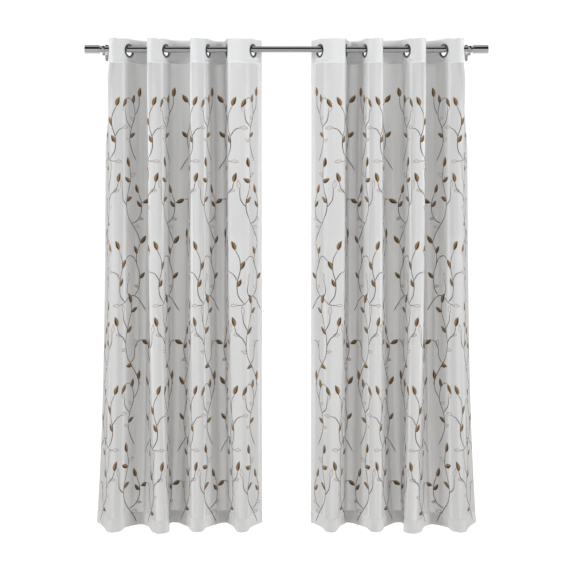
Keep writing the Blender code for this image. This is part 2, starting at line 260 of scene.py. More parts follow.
def make_cloth():
    """The left curtain's cloth: the rows' heights, its plan at each, the way to the room and the sag."""
    upper = np.linspace(HEADING_TOP, HEADING_FOOT, HEADING_ROWS)
    lower = np.linspace(HEADING_FOOT, HEM_FOOT, PANEL_ROWS)[1:]
    heights = np.concatenate((upper, lower))
    falls = np.clip((HEADING_FOOT - heights) / (HEADING_FOOT - HEM_FOOT), 0, 1)
    plan = np.stack([fold_section(float(fall)) for fall in falls])
    plan += (rounded(plan) - plan) * smooth(falls * OPENING_PACE - OPENING_DELAY)[:, None, None]
    plan[..., 1] -= ROD_OUT
    along = np.linspace(0, CLOTH_WIDTH, COLUMNS)[None, :]
    flare = (smooth(falls / FLARE_RISE) - smooth(falls / SETTLED))[:, None]
    plan[..., 0] -= FLARE * flare * np.exp(-((along / FLARE_WIDTH) ** 2))
    lift = relief(along, heights[:, None])
    plan = plan + lift[..., None] * room_side(plan)
    nearest = smooth((-ROD_OUT - SAG_NEAR - plan[..., 1]) / SAG_DEPTH)
    sag = nearest * (SAG_TOP + (SAG_FOOT - SAG_TOP) * falls[:, None])
    return heights, plan, room_side(plan), sag


def room_side(plan):
    """The way out of the cloth towards the room, in plan."""
    way = np.gradient(plan, axis=1)
    way = way / np.linalg.norm(way, axis=2, keepdims=True)
    return np.stack((way[..., 1], -way[..., 0]), axis=2)


def paled(along, height):
    """How far the cloth is painted paler along the folds' bright edges, as a painted highlight, from 0
    to 1.
    """
    total = np.zeros(np.broadcast(along, height).shape)
    for number, line in enumerate(PAINTED_HIGHLIGHTS):
        share = (HEADING_FOOT - height) / (HEADING_FOOT - HEM_FOOT)
        centre = (line.top + (line.foot - line.top) * share) * MM
        strength = line.paled * (0.75 + 0.25 * np.sin(height * 7 + number * 2.1))
        total += strength * np.exp(-(((along - centre) / (line.width * MM)) ** 2))
    return np.clip(total, 0, 1)


def place(along, height, lift=0.0):
    """Points of the left curtain, lift metres off the cloth towards the room."""
    along, height, lift = np.broadcast_arrays(along, height, lift)
    column = np.clip(along / CLOTH_WIDTH, 0, 1) * (COLUMNS - 1)
    row = np.interp(-height, -cloth_heights, np.arange(len(cloth_heights)))
    c = np.minimum(column.astype(int), COLUMNS - 2)
    r = np.minimum(row.astype(int), len(cloth_heights) - 2)
    across, down = (column - c)[..., None], (row - r)[..., None]

    def between(grid):
        upper = grid[r, c] * (1 - across) + grid[r, c + 1] * across
        lower = grid[r + 1, c] * (1 - across) + grid[r + 1, c + 1] * across
        return upper * (1 - down) + lower * down

    plan = between(cloth_plan) + lift[..., None] * between(cloth_room)
    hung = height[..., None] - between(cloth_sag[..., None])
    return np.concatenate((plan, hung), axis=-1)


# Meshes


def grid_faces(rows, columns):
    first = np.arange(rows - 1)[:, None] * columns + np.arange(columns - 1)
    quads = np.stack((first, first + columns, first + columns + 1, first + 1), axis=-1)
    return quads.reshape(-1, 4)


def add_layer(mesh, name, marks):
    """A UV layer that keeps two numbers for each point of a mesh."""
    corner = np.empty(len(mesh.loops), int)
    mesh.loops.foreach_get("vertex_index", corner)
    layer = mesh.uv_layers.new(name=name)
    layer.data.foreach_set("uv", np.asarray(marks, float).reshape(-1, 2)[corner].ravel())


def add_piece(name, points, faces, material, towards=1, marks=None, sharp=None):
    """A mesh object from points of the left curtain, mirrored where towards is -1."""
    points = np.asarray(points, float).reshape(-1, 3) * (towards, 1, 1)
    faces = [list(map(int, face)) for face in faces]
    if towards < 0:
        faces = [face[::-1] for face in faces]
    mesh = bpy.data.meshes.new(name)
    mesh.from_pydata(points.tolist(), [], faces)
    mesh.shade_smooth()
    if marks is not None:
        add_layer(mesh, "flat cloth", marks)
    if sharp is not None:
        mesh.set_sharp_from_angle(angle=math.radians(sharp))
    mesh.materials.append(material)
    piece = bpy.data.objects.new(name, mesh)
    bpy.context.scene.collection.objects.link(piece)
    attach(piece, "root")
    return piece


# Panels and headings

SIDE_HEM = 0.012
PLY = 0.0008  # from one ply of a hem to the next
HEM_ROWS = np.array((0.03, 0.25, 0.5, 0.75, 0.97, 1.0))  # shares of the hem's height
INNER_TURN = 0.001  # the hem's inner turn lies this much lower than its outer one
TUCK = 0.006  # the panel's top edge, held inside the heading
PANEL_STEP = 0.004
BAND_HEIGHT = 0.009  # the stitched fold along the heading's foot
BAND_HALF = 0.0013  # half the thickness of that fold, and of the rest of the heading
HEADING_HALF = 0.0008
HEADING_STEP = 0.005
PATCH = 0.040  # half the side of the square that each eyelet's hole is cut in


def make_panel(side, towards):
    """The voile with its side edges folded back and its hem turned up twice."""
    main = np.linspace(0, CLOTH_WIDTH, round(CLOTH_WIDTH / PANEL_STEP) + 1)
    returned = np.array((SIDE_HEM, SIDE_HEM * 0.6, SIDE_HEM * 0.2))
    along = np.concatenate((returned, main, CLOTH_WIDTH - returned[::-1]))
    across = np.repeat((-PLY, 0, -PLY), (len(returned), len(main), len(returned)))
    hem = HEM_HEIGHT * HEM_ROWS
    fall = np.linspace(HEADING_FOOT + TUCK, HEM_FOOT + HEM_HEIGHT, PANEL_ROWS)
    down = HEM_FOOT + HEM_HEIGHT - hem
    inner = HEM_FOOT + hem[::-1] - INNER_TURN
    height = np.concatenate((fall, down, HEM_FOOT + hem, inner))
    depth = np.repeat((0, -2 * PLY, -PLY), (len(fall) + len(down), len(hem), len(inner)))
    grid_along, grid_height = np.meshgrid(along, height)
    lift = across[None, :] + depth[:, None]
    points = place(grid_along, grid_height, lift)
    marks = np.stack((grid_along, grid_height), axis=-1)
    faces = grid_faces(len(height), len(along))
    panel = add_piece(f"voile_{side}", points, faces, voile, towards, marks)
    # painted highlights along the folds' bright edges, kept on the mesh for the material
    painted_highlight_share = paled(grid_along, grid_height)
    add_layer(panel.data, "painted_highlight_share", np.stack((painted_highlight_share, painted_highlight_share), axis=-1))
    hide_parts(f"panel_{side}")
    return panel


def heading_flat():
    """The heading laid flat: points, faces, with a round hole for each eyelet."""
    segments = 12
    rise = np.linspace(HEADING_FOOT + BAND_HEIGHT + 2 * GAP, HEADING_TOP, segments + 1)
    band = np.array((0.0, BAND_HEIGHT / 2, BAND_HEIGHT)) + HEADING_FOOT
    points, index, faces = [], {}, []

    def point(u, z):
        key = (round(u, 6), round(z, 6))
        if key not in index:
            index[key] = len(points)
            points.append((u, z))
        return index[key]

    def fill(columns, rows):
        for u0, u1 in zip(columns, columns[1:]):
            for z0, z1 in zip(rows, rows[1:]):
                faces.append((point(u0, z0), point(u1, z0), point(u1, z1), point(u0, z1)))

    edge = 0.0
    band_rows = np.concatenate((band, rise[:1]))
    for number in range(len(FLANKS)):
        centre = SIDE_FLAP + EYELET_PITCH * number
        width = centre - PATCH - edge
        plain = np.linspace(edge, centre - PATCH, max(4, round(width / HEADING_STEP)))
        fill(plain, rise)
        fill(plain, band_rows)
        square = np.linspace(centre - PATCH, centre + PATCH, segments + 1)
        fill(square, band_rows)
        border = [(u, rise[0]) for u in square]
        border += [(square[-1], z) for z in rise[1:]]
        border += [(u, rise[-1]) for u in square[-2::-1]]
        border += [(square[0], z) for z in rise[-2:0:-1]]
        border = np.array(border)
        middle = np.array((centre, -EYELET_DROP))
        out = border - middle
        hole = middle + out / np.linalg.norm(out, axis=1, keepdims=True) * (EYELET_NECK_R + GAP)
        rings = [hole + (border - hole) * share for share in (0, 0.12, 0.3, 0.5, 0.75, 1)]
        for inner, outer in zip(rings, rings[1:]):
            for i in range(len(border)):
                j = (i + 1) % len(border)
                faces.append((point(*inner[i]), point(*outer[i]), point(*outer[j]), point(*inner[j])))
        edge = centre + PATCH
    plain = np.linspace(edge, CLOTH_WIDTH, 5)
    fill(plain, rise)
    fill(plain, band_rows)
    return np.array(points), faces


def make_heading(side, towards):
    """The doubled band along the top, pierced for the eyelets, with a stitched fold at its foot."""
    flat, faces = heading_flat()
    half = np.where(flat[:, 1] < HEADING_FOOT + BAND_HEIGHT + GAP, BAND_HALF, HEADING_HALF)
    front = place(flat[:, 0], flat[:, 1], half)
    back = place(flat[:, 0], flat[:, 1], -half)
    count = len(flat)
    uses = {}
    for face in faces:
        for a, b in zip(face, face[1:] + face[:1]):
            uses[(a, b)] = True
    rim = [(a, b) for a, b in uses if (b, a) not in uses]
    everything = list(faces)
    everything += [[i + count for i in face[::-1]] for face in faces]
    everything += [(b, a, a + count, b + count) for a, b in rim]
    points, marks = np.concatenate((front, back)), np.concatenate((flat, flat))
    heading = add_piece(
        f"eyelet_heading_{side}", points, everything, heading_voile, towards, marks, sharp=50
    )
    # no painted highlights on the heading
    add_layer(heading.data, "painted_highlight_share", np.zeros((2 * count, 2)))
    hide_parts(f"heading_{side}")
    return heading


# Embroidery

# Everything here is drawn on the flat cloth, in mm, with x along the cloth and y up. The design
# repeats in cells four across the width. Every other row of cells is mirrored.
CELL_WIDTH = 343
CELL_HEIGHT = 624
FIRST_TOP = -190
CELL_ROWS = 3

# No embroidery comes closer than this to the cloth's side edges, its heading and its foot.
SIDE_CLEAR = 4
TOP_CLEAR = 8
FOOT_CLEAR = 12

STEM_WIDTH = 4.0
STEM_TAPER = 1.2  # how much narrower it is at its tip
STEM_HEIGHT = 1.2
OUTLINE_HEIGHT = 1.1

# kind is the thread that a leaf is sewn with, and turn (degrees) is the way that it points.
Leaf = namedtuple("Leaf", "x y turn length kind")
Plant = namedtuple("Plant", "stems leaves")
PLANTS = {
    "fork": Plant(
        stems=(
            (
                *((-62, -58), (-44, -12), (-16, 30), (14, 72), (26, 124)),
                *((20, 182), (2, 232), (-10, 272), (-8, 306)),
            ),
            ((-8, 42), (-30, 70), (-34, 106), (-50, 136), (-74, 140)),
            ((27, 132), (44, 164), (70, 186), (80, 218)),
            ((16, 192), (38, 232), (42, 268)),
        ),
        leaves=(
            Leaf(-8, 306, 70, 45, "gold"),
            Leaf(-74, 140, 204, 41, "gold"),
            Leaf(80, 218, 74, 43, "gold"),
            Leaf(20, 180, 142, 41, "gold"),
            Leaf(-10, 268, 150, 39, "gold"),
            Leaf(-16, 30, 2, 39, "gold"),
            Leaf(42, 268, 84, 36, "rose"),
            Leaf(-36, 112, 88, 34, "rose"),
            Leaf(56, 178, 8, 30, "rose"),
            Leaf(24, 100, 22, 28, "white"),
        ),
    ),
    "lyre": Plant(
        stems=(
            ((-96, -64), (-64, -18), (-30, 6), (2, 0), (32, -20), (66, -24)),
            ((-34, 5), (-58, 44), (-62, 96), (-44, 148), (-46, 196), (-66, 236)),
            ((-47, 140), (-30, 172), (2, 182), (26, 166)),
            ((30, -19), (58, 20), (62, 74), (48, 126), (50, 176), (70, 216)),
            ((0, 0), (14, 34), (8, 72)),
            ((60, 82), (80, 112), (106, 122)),
        ),
        leaves=(
            Leaf(-66, 236, 128, 43, "gold"),
            Leaf(26, 166, -62, 41, "gold"),
            Leaf(70, 216, 66, 43, "gold"),
            Leaf(-62, 82, 136, 37, "gold"),
            Leaf(-46, 190, 62, 39, "gold"),
            Leaf(62, 58, 118, 37, "gold"),
            Leaf(8, 72, 98, 36, "rose"),
            Leaf(106, 122, -8, 32, "rose"),
            Leaf(66, -24, -4, 30, "rose"),
            Leaf(-56, 40, 24, 26, "white"),
        ),
    ),
    "spray": Plant(
        stems=(
            ((58, -92), (34, -44), (2, -6), (-24, 38), (-30, 90), (-16, 140), (-2, 190), (-10, 240)),
            ((4, -8), (38, 4), (60, 36), (62, 84), (46, 126)),
            ((-28, 68), (-54, 102), (-58, 150)),
        ),
        leaves=(
            Leaf(-10, 240, 106, 46, "gold"),
            Leaf(46, 126, 112, 43, "gold"),
            Leaf(-30, 88, 28, 41, "gold"),
            Leaf(-5, 176, 152, 41, "gold"),
            Leaf(63, 66, 134, 37, "gold"),
            Leaf(-58, 150, 100, 38, "rose"),
            Leaf(-2, 196, 30, 34, "rose"),
            Leaf(46, 14, -10, 28, "white"),
            Leaf(22, -26, 4, 30, "rose"),
        ),
    ),
    "crook": Plant(
        stems=(
            ((26, -52), (2, -10), (-14, 40), (-4, 94), (16, 142), (12, 190), (-10, 222), (-38, 220)),
            ((-4, 92), (-34, 122), (-42, 164)),
            ((17, 150), (40, 188), (44, 232)),
        ),
        leaves=(
            Leaf(-38, 220, 240, 41, "gold"),
            Leaf(44, 232, 82, 43, "gold"),
            Leaf(-12, 50, 34, 37, "gold"),
            Leaf(8, 202, 80, 39, "gold"),
            Leaf(-42, 164, 112, 34, "rose"),
            Leaf(13, 130, 158, 28, "rose"),
            Leaf(-15, 36, 156, 26, "white"),
        ),
    ),
}

# way is -1 for a plant turned over left to right.
Spot = namedtuple("Spot", "plant x y way")
SPOTS = (
    Spot("fork", 92, 20, 1),
    Spot("lyre", 96, 352, 1),
    Spot("spray", 256, 60, 1),
    Spot("crook", 262, 378, 1),
)


def smooth_line(points, step):
    """A curve through given points, at even steps."""
    points = np.array(points, float)
    ends = np.concatenate(([2 * points[0] - points[1]], points, [2 * points[-1] - points[-2]]))
    t = np.linspace(0, 1, 9)[:-1, None]
    pieces = []
    for a, b, c, d in zip(ends, ends[1:], ends[2:], ends[3:]):
        pieces.append(
            b + 0.5 * t * (c - a + t * (2 * a - 5 * b + 4 * c - d + t * (3 * (b - c) + d - a)))
        )
    line = np.concatenate(pieces + [points[-1:]])
    along = path_lengths(line)
    even = np.linspace(0, along[-1], max(3, round(along[-1] / step) + 1))
    return np.stack([np.interp(even, along, line[:, i]) for i in (0, 1)], axis=1)


def sideways(line):
    """The way across a line, to its left, at each of its points."""
    way = np.gradient(line, axis=0)
    way = way / np.maximum(np.linalg.norm(way, axis=1, keepdims=True), 1e-9)
    return np.stack((-way[:, 1], way[:, 0]), axis=1)


class Needlework:
    """Threads of one colour gathered into one mesh, kept flat until the cloth shapes them."""

    def __init__(self):
        self.flat, self.faces, self.marks = [], [], []
        self.count = 0

    def thread(self, line, width, height, raised=0.0, sides=6):
        """A cord of oval section along a line (mm), width and height one number or one a point."""
        line = np.asarray(line, float)
        steps = len(line)
        turn = np.arange(sides) * math.tau / sides
        half_width = np.broadcast_to(width, (steps,)) / 2
        half_height = np.broadcast_to(height, (steps,)) / 2
        out = half_width[:, None] * np.cos(turn)
        spots = line[:, None, :] + sideways(line)[:, None, :] * out[..., None]
        lift = half_height[:, None] * np.sin(turn) + raised
        flat = np.concatenate((spots, lift[..., None]), axis=-1).reshape(-1, 3)
        gone = np.broadcast_to(path_lengths(line)[:, None], out.shape)
        marks = np.stack((gone, out), axis=-1).reshape(-1, 2)
        first = np.arange(steps - 1)[:, None] * sides + np.arange(sides)
        after = np.arange(steps - 1)[:, None] * sides + (np.arange(sides) + 1) % sides
        quads = np.stack((first, first + sides, after + sides, after), axis=-1).reshape(-1, 4)
        self.faces += (quads + self.count).tolist()
        self.faces.append([self.count + i for i in range(sides)])
        last = self.count + (steps - 1) * sides
        self.faces.append([last + i for i in range(sides)][::-1])
        self.flat.append(flat)
        self.marks.append(marks)
        self.count += len(flat)

    def build(self, name, towards, material, slot):
        flat = np.concatenate(self.flat) * MM
        points = place(flat[:, 0], flat[:, 1], flat[:, 2])
        marks = np.concatenate(self.marks) * MM
        piece = add_piece(name, points, self.faces, material, towards, marks)
        return piece


def leaf_line(leaf, bend, steps):
    """The leaf's midrib, its half width there (mm), and each place's share of its length."""
    t = np.linspace(0, 1, steps)
    x = leaf.length * t
    y = bend * leaf.length * 4 * t * (1 - t)
    x, y = rotated(x, y, math.radians(leaf.turn))
    spots = np.stack((leaf.x + x, leaf.y + y), axis=1)
    half = (0.21 if leaf.kind == "gold" else 0.19) * leaf.length * np.sin(math.pi * t**0.82) ** 0.9
    return spots, np.maximum(half, 0.15), t


def outline_of(spots, half):
    """The leaf's edge, from its root up one side to its tip and back down the other."""
    aside = sideways(spots) * half[:, None]
    return np.concatenate((spots + aside, (spots - aside)[-2::-1]))


def sew_leaf(work, leaf, bend):
    """A leaf in satin stitch, its under half darker, or only its outline in rose."""
    spots, half, t = leaf_line(leaf, bend, 13)
    edge = outline_of(spots, half)
    swell = np.sin(math.pi * t) ** 0.6
    if leaf.kind == "gold":
        under = -1 if math.cos(math.radians(leaf.turn)) > 0 else 1
        work["gold"].thread(spots, 2 * half, 1.6 * swell + 0.2, sides=8)
        shade = outline_of(spots, half * 0.52 * under)[:11]
        work["brown"].thread(shade, 0.95 * half[:11], 2.0 * swell[:11] + 0.3, sides=6)
        work["brown"].thread(spots[:11], 1.5, 2.4 * swell[:11] + 0.2, sides=5)
        work["brown"].thread(edge, 1.3, OUTLINE_HEIGHT, sides=4)
    else:
        work["rose"].thread(edge, 2.0, OUTLINE_HEIGHT, sides=4)
        if leaf.kind == "white":
            work["white"].thread(spots, 1.7 * half, 1.4 * swell + 0.2, sides=8)


def on_cloth(spots):
    """Which of these places are on the embroidered cloth, clear of its edges."""
    x, y = spots[:, 0], spots[:, 1]
    inside = (x > SIDE_CLEAR) & (x < CLOTH_WIDTH / MM - SIDE_CLEAR)
    return inside & (y < HEADING_FOOT / MM - TOP_CLEAR) & (y > HEM_FOOT / MM + FOOT_CLEAR)


def embroider():
    """All the threads of the left curtain, sorted by colour."""
    work = {kind: Needlework() for kind in ("gold", "brown", "grey", "rose", "white")}
    for row in range(CELL_ROWS):
        foot = FIRST_TOP - CELL_HEIGHT * (row + 1)
        over = -1 if row % 2 else 1
        for cell in range(-1, 5):
            middle = (cell + 0.5) * CELL_WIDTH
            for spot in SPOTS:
                plant = PLANTS[spot.plant]
                way = spot.way * over
                centre = middle + (spot.x - CELL_WIDTH / 2) * over
                for stem in plant.stems:
                    line = smooth_line([(centre + way * x, foot + spot.y + y) for x, y in stem], 5)
                    keep = on_cloth(line)
                    if keep.sum() < 3:
                        continue
                    line = line[keep]
                    gone = path_lengths(line)
                    ends = np.minimum(0.35 + gone / 22, 0.45 + (gone[-1] - gone) / 16)
                    width = (STEM_WIDTH - STEM_TAPER * gone / gone[-1]) * np.minimum(ends, 1)
                    work["grey"].thread(line, width, STEM_HEIGHT)
                for leaf in plant.leaves:
                    turn = leaf.turn if way > 0 else 180 - leaf.turn
                    put = leaf._replace(x=centre + way * leaf.x, y=foot + spot.y + leaf.y, turn=turn)
                    if on_cloth(leaf_line(put, 0, 5)[0]).all():
                        sew_leaf(work, put, 0.06 * way)
    return work


# raised is how far (mm) the stitches lie off the cloth, towards the room.
Seam = namedtuple("Seam", "start end raised")


def sew_seams():
    """Rows of small running stitches: the heading's foot, the bottom hem and both side hems."""
    work = Needlework()
    stitch, pace = 3.0, 4.4
    left, right = 5, CLOTH_WIDTH / MM - 5
    outer, inner = SIDE_HEM / MM - 2, (CLOTH_WIDTH - SIDE_HEM) / MM + 2
    band = HEADING_FOOT / MM + 8
    hem = (HEM_FOOT + HEM_HEIGHT) / MM - 2
    top, foot = HEADING_FOOT / MM - 3, HEM_FOOT / MM + 4
    seams = (
        Seam((left, band), (right, band), 1.35),
        Seam((left, hem), (right, hem), 0.2),
        Seam((left, hem), (right, hem), -2 * PLY / MM - 0.2),
        Seam((outer, top), (outer, foot), 0.2),
        Seam((inner, top), (inner, foot), 0.2),
    )
    for seam in seams:
        start, end = np.array(seam.start), np.array(seam.end)
        length = np.linalg.norm(end - start)
        way = (end - start) / length
        for number in range(int(length / pace)):
            first = start + way * pace * number
            line = [first, first + way * stitch / 2, first + way * stitch]
            work.thread(line, (0.5, 0.8, 0.5), (0.3, 0.6, 0.3), seam.raised, sides=4)
    return work


# Turned metal

ROD_STEPS = 64
RING_STEPS = 72
CASTING_EDGE = 0.0006  # how far a bracket's edges are rounded, and a screw's
SCREW_EDGE = 0.0003


def turned(profile, steps, closed):
    """A profile of radii and heights (mm) spun round Z, its outer side listed from top to bottom."""
    count = len(profile)
    turn = np.arange(steps) * math.tau / steps
    radius, height = np.array(profile).T * MM
    x, y = np.outer(np.cos(turn), radius), np.outer(np.sin(turn), radius)
    points = np.stack((x, y, np.broadcast_to(height, x.shape)), axis=-1).reshape(-1, 3)
    faces = []
    for i in range(steps):
        for k in range(count if closed else count - 1):
            a, b = i * count + k, i * count + (k + 1) % count
            c, d = (a + count) % (steps * count), (b + count) % (steps * count)
            faces.append((a, b, d, c))
    return points, faces


def turned_on_rod(name, profile, closed, towards, node, material):
    """A part turned about the rod's axis, its profile's heights (mm) counted from the middle."""
    points, faces = turned(profile, ROD_STEPS, closed)
    points = points[:, (2, 0, 1)] + (0, -ROD_OUT, 0)
    piece = add_piece(name, points, faces, material, towards, sharp=40)
    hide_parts(node)


def make_rod():
    """The tube, its cut ends eased."""
    end, outer, inner, round_off = ROD_HALF / MM, ROD_R / MM, (ROD_R - ROD_WALL) / MM, 0.3
    profile = (
        (outer, end - round_off),
        (outer, round_off - end),
        (outer - round_off, -end),
        (inner + round_off, -end),
        (inner, round_off - end),
        (inner, end - round_off),
        (inner + round_off, end),
        (outer - round_off, end),
    )
    turned_on_rod("curtain_rod", profile, True, 1, "rod", nickel)


def make_finial(side, towards):
    """A plain round cap with a softened rim, a fine groove and a collar, its plug inside the rod."""
    foot = (ROD_HALF + GAP) / MM
    shoulder = foot + COLLAR_LENGTH / MM
    end = shoulder + FINIAL_LENGTH / MM
    plug_end = foot - PLUG_LENGTH / MM
    outer, collar, plug = FINIAL_R / MM, COLLAR_R / MM, (ROD_R - ROD_WALL - GAP) / MM
    profile = (
        (0.0, end),
        (outer - 1.5, end),
        (outer - 0.7, end - 0.25),
        (outer - 0.2, end - 0.75),
        (outer, end - 1.5),
        (outer, shoulder + 8.0),
        (outer - 0.5, shoulder + 7.6),
        (outer - 0.5, shoulder + 6.6),
        (outer, shoulder + 6.2),
        (outer, shoulder + 1.2),
        (outer - 0.4, shoulder + 0.4),
        (outer - 1.2, shoulder),
        (collar, shoulder),
        (collar, foot + 0.4),
        (collar - 0.4, foot),
        (plug, foot),
        (plug, plug_end + 0.6),
        (plug - 0.6, plug_end),
        (0.0, plug_end),
    )
    turned_on_rod(
        f"rod_finial_{side}", profile, False, -towards, f"finial_{side}", bright_nickel
    )


def soften(name, node, width):
    """The CAD's own shape with its edges rounded over, in place of the sharp one."""
    mesh = bpy.data.meshes.new(name)
    shape = bmesh.new()
    shape.from_mesh(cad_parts[node].data)
    bmesh.ops.remove_doubles(shape, verts=shape.verts, dist=1e-6)
    bmesh.ops.dissolve_limit(
        shape, angle_limit=math.radians(1), verts=shape.verts, edges=shape.edges
    )
    shape.to_mesh(mesh)
    shape.free()
    mesh.shade_smooth()
    mesh.materials.clear()
    mesh.materials.append(nickel)
    piece = bpy.data.objects.new(name, mesh)
    bpy.context.scene.collection.objects.link(piece)
    bevel = piece.modifiers.new("rounded edges", "BEVEL")
    bevel.width = width
    bevel.segments = 2
    bevel.limit_method = "ANGLE"
    bevel.angle_limit = math.radians(35)
    bevel.harden_normals = True
    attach(piece, "root")
    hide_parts(node)


def make_eyelets(side, towards):
    """Rolled metal rings clamped round the holes of the heading, over the rod."""
    bore, neck, rim = EYELET_BORE_R / MM, EYELET_NECK_R / MM, EYELET_R / MM
    half = [
        (bore, 0.0),
        (bore, 2.2),
        (21.7, 3.0),
        (22.3, 3.7),
        (23.3, 4.1),
        (24.6, 4.15),
        (26.4, 3.9),
        (28.2, 3.4),
        (29.6, 2.7),
        (30.3, 1.9),
        (rim, 1.2),
        (30.2, 0.9),
        (neck, 0.9),
    ]
    profile = half + [(r, -z) for r, z in reversed(half[1:])]
    points, faces = turned(profile, RING_STEPS, True)
    eyelets = []
    for number, flank in enumerate(FLANKS, 1):
        centre, way = flank_at(flank, 0)
        middle = np.array((centre[0], -ROD_OUT, -EYELET_DROP))
        along = np.array((way[0], way[1], 0))
        up = np.array((0.0, 0.0, 1.0))
        axes = np.stack((along, up, np.cross(along, up)))
        name, spots = f"eyelet_ring_{side}_{number}", points @ axes + middle
        eyelet = add_piece(name, spots, faces, dark_nickel, towards, sharp=50)
        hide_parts(f"eyelet_{side}_{number}")
        eyelets.append(eyelet)
    return eyelets


# Materials


class Nodes:
    """Short calls that build the nodes of one material or world."""

    def __init__(self, owner):
        self.owner = owner
        owner.use_nodes = True
        self.tree = owner.node_tree
        self.tree.nodes.clear()

    def add(self, kind, inputs=None, **settings):
        node = self.tree.nodes.new("ShaderNode" + kind)
        for key, value in settings.items():
            setattr(node, key, value)
        for key, value in (inputs or {}).items():
            if isinstance(value, bpy.types.NodeSocket):
                self.tree.links.new(value, node.inputs[key])
            else:
                node.inputs[key].default_value = value
        return node

    def math(self, operation, *values, clamp=False):
        inputs = dict(enumerate(values))
        return self.add("Math", inputs, operation=operation, use_clamp=clamp).outputs[0]

    def mix(self, share, a, b):
        node = self.add("Mix", {0: share, 6: a, 7: b}, data_type="RGBA")
        return node.outputs[2]

    def noise(self, vector, scale, detail=2.0, roughness=0.5):
        scaled = self.add("Mapping", {"Vector": vector, "Scale": scale}).outputs[0]
        inputs = {"Vector": scaled, "Scale": 1.0, "Detail": detail, "Roughness": roughness}
        return self.add("TexNoise", inputs).outputs["Fac"]

    def finish(self, shader):
        self.add("OutputMaterial", {"Surface": shader})
        return self.owner


def smooth_range(n, value, start, end, low=0.0, high=1.0):
    """A soft ramp from low at start to high at end."""
    inputs = {"From Min": start, "From Max": end, "To Min": low, "To Max": high, "Value": value}
    return n.add("MapRange", inputs, interpolation_type="SMOOTHSTEP").outputs[0]


PLIES_PALER = 1.36  # how much paler several plies are than one
WHITEST = 0.98
# the tone of the painted highlights along the folds' edges
PAINTED_HIGHLIGHT_TONE = 0.97


def voile_material(name, density, colour, streaks, doubled):
    """Thin woven cloth: see-through between its threads, and denser where it is seen aslant.

    density is the share of the cloth that its threads cover, and streaks is how much it varies along
    the warp. doubled gives the zones of the flat cloth that lie in several plies, each as the
    coordinate that crosses the zone, where the zone begins and where it is full, in metres.
    """
    n = Nodes(bpy.data.materials.new(name))
    flat = n.add("UVMap", uv_map="flat cloth").outputs[0]
    split = n.add("SeparateXYZ", {0: flat}).outputs
    plies = 0.0
    for coordinate, begins, full in doubled:
        zone = smooth_range(n, split[coordinate], begins, full)
        plies = n.math("MAXIMUM", plies, zone)
    # painted highlights along the folds' bright edges
    painted_highlight_share = n.add("SeparateXYZ", {0: n.add("UVMap", uv_map="painted_highlight_share").outputs[0]}).outputs["X"]
    slubs_down = n.noise(flat, (900, 22, 1))
    slubs_across = n.noise(flat, (22, 900, 1))
    streak = n.noise(flat, (120, 1.3, 1))
    broad = n.noise(flat, (34, 0.9, 1))
    threads = n.math("MULTIPLY_ADD", slubs_down, 0.10, n.math("MULTIPLY", slubs_across, 0.08))
    threads = n.math("MULTIPLY_ADD", streak, streaks, threads)
    threads = n.math("MULTIPLY_ADD", broad, streaks, threads)
    cover = n.math("ADD", threads, density - 0.09 - streaks, clamp=True)
    # denser where the cloth lies in plies, and along the painted highlights
    dense = n.math("MAXIMUM", plies, painted_highlight_share)
    cover = n.math("MULTIPLY_ADD", dense, 0.9 * (1 - density), cover, clamp=True)
    facing = n.add("LayerWeight", {"Blend": 0.5}).outputs["Facing"]
    cosine = n.math("MAXIMUM", n.math("SUBTRACT", 1.0, facing), 0.12)
    through = n.math("POWER", n.math("SUBTRACT", 1.0, cover), n.math("DIVIDE", 1.0, cosine))
    alpha = n.math("SUBTRACT", 1.0, through)
    weave = n.math("ADD", slubs_down, slubs_across)
    bump = n.add("Bump", {"Strength": 0.15, "Distance": 0.0003, "Height": weave}).outputs[0]
    single = n.mix(weave, tuple(c * 0.97 for c in colour) + (1,), colour + (1,))
    tone = n.mix(plies, single, tuple(min(c * PLIES_PALER, WHITEST) for c in colour) + (1,))
    # painted highlight: paler along the folds' bright edges
    tone = n.mix(painted_highlight_share, tone, (PAINTED_HIGHLIGHT_TONE, PAINTED_HIGHLIGHT_TONE, PAINTED_HIGHLIGHT_TONE, 1))
    cloth = n.add(
        "BsdfPrincipled",
        {
            "Base Color": tone,
            "Roughness": 0.75,
            "Sheen Weight": 0.8,
            "Sheen Roughness": 0.35,
            "Specular IOR Level": 0.3,
            "Normal": bump,
        },
    ).outputs[0]
    lit_through = n.add("BsdfTranslucent", {"Color": tone}).outputs[0]
    passed = n.math("MULTIPLY_ADD", n.math("POWER", facing, 3.0), 0.4, 0.12)
    body = n.add("MixShader", {0: passed, 1: cloth, 2: lit_through}).outputs[0]
    clear = n.add("BsdfTransparent").outputs[0]
    return n.finish(n.add("MixShader", {0: alpha, 1: clear, 2: body}).outputs[0])


def thread_material(name, colour, shade, pitch):
    """Embroidery thread: fine parallel stitches, pitch metres apart, with a silky sheen and painted
    shade between them.
    """
    n = Nodes(bpy.data.materials.new(name))
    flat = n.add("UVMap", uv_map="flat cloth").outputs[0]
    split = n.add("SeparateXYZ", {0: flat}).outputs
    slant = n.math("MULTIPLY", n.math("ABSOLUTE", split["Y"]), 0.9)
    along = n.math("ADD", split["X"], slant)
    wave = n.math("SINE", n.math("MULTIPLY", along, math.tau / pitch))
    stitch = n.math("MULTIPLY_ADD", wave, 0.5, 0.5)
    patchy = n.noise(flat, (160, 160, 1), 3.0)
    # darker in random patches of the thread, and painted shade in the grooves where the stitches dip
    mixed = n.math("MULTIPLY_ADD", patchy, 0.6, n.math("MULTIPLY", stitch, 0.4), clamp=True)
    tone = n.mix(mixed, shade + (1,), colour + (1,))
    bump = n.add("Bump", {"Strength": 0.5, "Distance": 0.0002, "Height": stitch}).outputs[0]
    inputs = {
        "Base Color": tone,
        "Roughness": 0.45,
        "Sheen Weight": 0.3,
        "Sheen Roughness": 0.3,
        "Normal": bump,
    }
    return n.finish(n.add("BsdfPrincipled", inputs).outputs[0])


